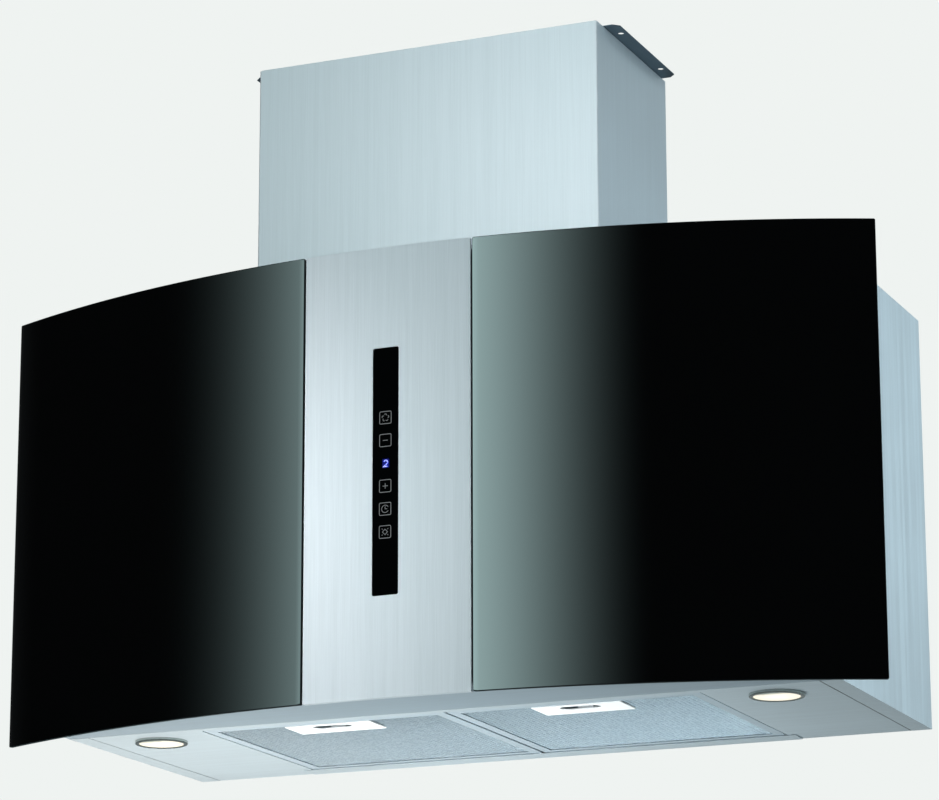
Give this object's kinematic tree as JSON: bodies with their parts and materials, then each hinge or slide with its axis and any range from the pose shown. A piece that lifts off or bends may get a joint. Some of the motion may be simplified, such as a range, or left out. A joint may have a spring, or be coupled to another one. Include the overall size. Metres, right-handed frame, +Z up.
{
  "type": "range hood",
  "caption": "Wall-hung curved glass range hood: bowed black glass front, steel body, tilting grease filters, lamps, blower and telescopic chimney.",
  "frame": {"origin": "centre of the four wall screws, on the back face of the back panel", "axes": "+X to the viewer's right, +Y into the wall, +Z up"},
  "size_m": [0.898, 0.4116, 0.6616],
  "materials": {
    "black_glass": "back-painted black toughened glass, polished face and ground edges",
    "brushed_steel": "fine satin stainless steel",
    "galvanised_steel": "dull zinc-coated sheet",
    "filter_frame_metal": "satin anodised",
    "filter_mesh_metal": "matt expanded sheet",
    "bright_steel": "bright polished plate",
    "spring_steel": "drawn wire and ground shaft",
    "lamp_bezel_metal": "dull nickel turned ring and cast can",
    "lamp_lens": "frosted glass, lit warm white",
    "bonding_rubber": "black foam adhesive strip",
    "dark_plastic": "moulded flame-retardant plastic",
    "pale_plastic": "moulded plastic",
    "circuit_board": "green solder mask",
    "motor_paint": "enamelled",
    "capacitor_metal": "drawn can",
    "screw_steel": "zinc-plated screws"
  },
  "bodies": {
    "hood": {"back_panel": "galvanised_steel", "blower_housing": "dark_plastic", "board_holder": "dark_plastic", "bottom_pan": "brushed_steel", "cable_gland": "dark_plastic", "capacitor": "capacitor_metal", "capacitor_strap": "galvanised_steel", "carrier_screws": "screw_steel", "centre_panel": "brushed_steel", "chimney_screws": "screw_steel", "collar_screws": "screw_steel", "control_board": "circuit_board", "control_glass": "black_glass", "damper_rod": "galvanised_steel", "display_module": "dark_plastic", "electronics_box": "pale_plastic", "electronics_lid": "pale_plastic", "filter_rail": "brushed_steel", "front_bottom_plate": "brushed_steel", "front_carrier": "galvanised_steel", "gland_nut": "dark_plastic", "inlet_rings": "dark_plastic", "key_sensor_springs": "spring_steel", "lamp_driver": "pale_plastic", "left_glass": "black_glass", "left_glass_bonding_strips": "bonding_rubber", "left_lamp_bezel": "lamp_bezel_metal", "left_lamp_can": "lamp_bezel_metal", "left_lamp_lens": "lamp_lens", "left_side_panel": "brushed_steel", "motor": "motor_paint", "motor_bracket": "galvanised_steel", "outer_chimney": "brushed_steel", "outlet_collar": "dark_plastic", "right_glass": "black_glass", "right_glass_bonding_strips": "bonding_rubber", "right_lamp_bezel": "lamp_bezel_metal", "right_lamp_can": "lamp_bezel_metal", "right_lamp_lens": "lamp_lens", "right_side_panel": "brushed_steel", "top_plate": "galvanised_steel"},
    "left_filter": {"left_filter_frame": "filter_frame_metal", "left_filter_mesh": "filter_mesh_metal", "left_filter_core": "filter_mesh_metal", "left_latch_spring": "spring_steel"},
    "right_filter": {"right_filter_frame": "filter_frame_metal", "right_filter_mesh": "filter_mesh_metal", "right_filter_core": "filter_mesh_metal", "right_latch_spring": "spring_steel"},
    "left_latch": {"left_filter_latch": "bright_steel"},
    "right_latch": {"right_filter_latch": "bright_steel"},
    "fan_wheel": {"impeller": "dark_plastic", "motor_shaft": "spring_steel"},
    "front_damper": {"front_flap": "dark_plastic"},
    "rear_damper": {"rear_flap": "dark_plastic"},
    "upper_chimney": {"inner_chimney": "brushed_steel"}
  },
  "joints": [
    {"name": "left_filter_tilt", "type": "hinge", "parent": "hood", "child": "left_filter", "pos_m": [-0.1285, -0.02695, -0.3], "axis": [1, 0, 0], "range_deg": [0, 70]},
    {"name": "right_filter_tilt", "type": "hinge", "parent": "hood", "child": "right_filter", "pos_m": [0.1285, -0.02695, -0.3], "axis": [1, 0, 0], "range_deg": [0, 70]},
    {"name": "left_latch_slide", "type": "slide", "parent": "left_filter", "child": "left_latch", "axis": [0, 1, 0], "range_m": [0, 0.006], "stiffness_N_per_m": 300, "springref_m": -0.005, "deforming": ["left_latch_spring"]},
    {"name": "right_latch_slide", "type": "slide", "parent": "right_filter", "child": "right_latch", "axis": [0, 1, 0], "range_m": [0, 0.006], "stiffness_N_per_m": 300, "springref_m": -0.005, "deforming": ["right_latch_spring"]},
    {"name": "fan_spin", "type": "hinge", "parent": "hood", "child": "fan_wheel", "pos_m": [0, -0.148, -0.104], "axis": [1, 0, 0], "continuous": true},
    {"name": "front_damper_swing", "type": "hinge", "parent": "hood", "child": "front_damper", "pos_m": [0, -0.2165, 0.132], "axis": [-1, 0, 0], "range_deg": [0, 78]},
    {"name": "rear_damper_swing", "type": "hinge", "parent": "hood", "child": "rear_damper", "pos_m": [0, -0.2165, 0.132], "axis": [1, 0, 0], "range_deg": [0, 78]},
    {"name": "chimney_slide", "type": "slide", "parent": "hood", "child": "upper_chimney", "axis": [0, 0, 1], "range_m": [0, 0.18]}
  ]
}
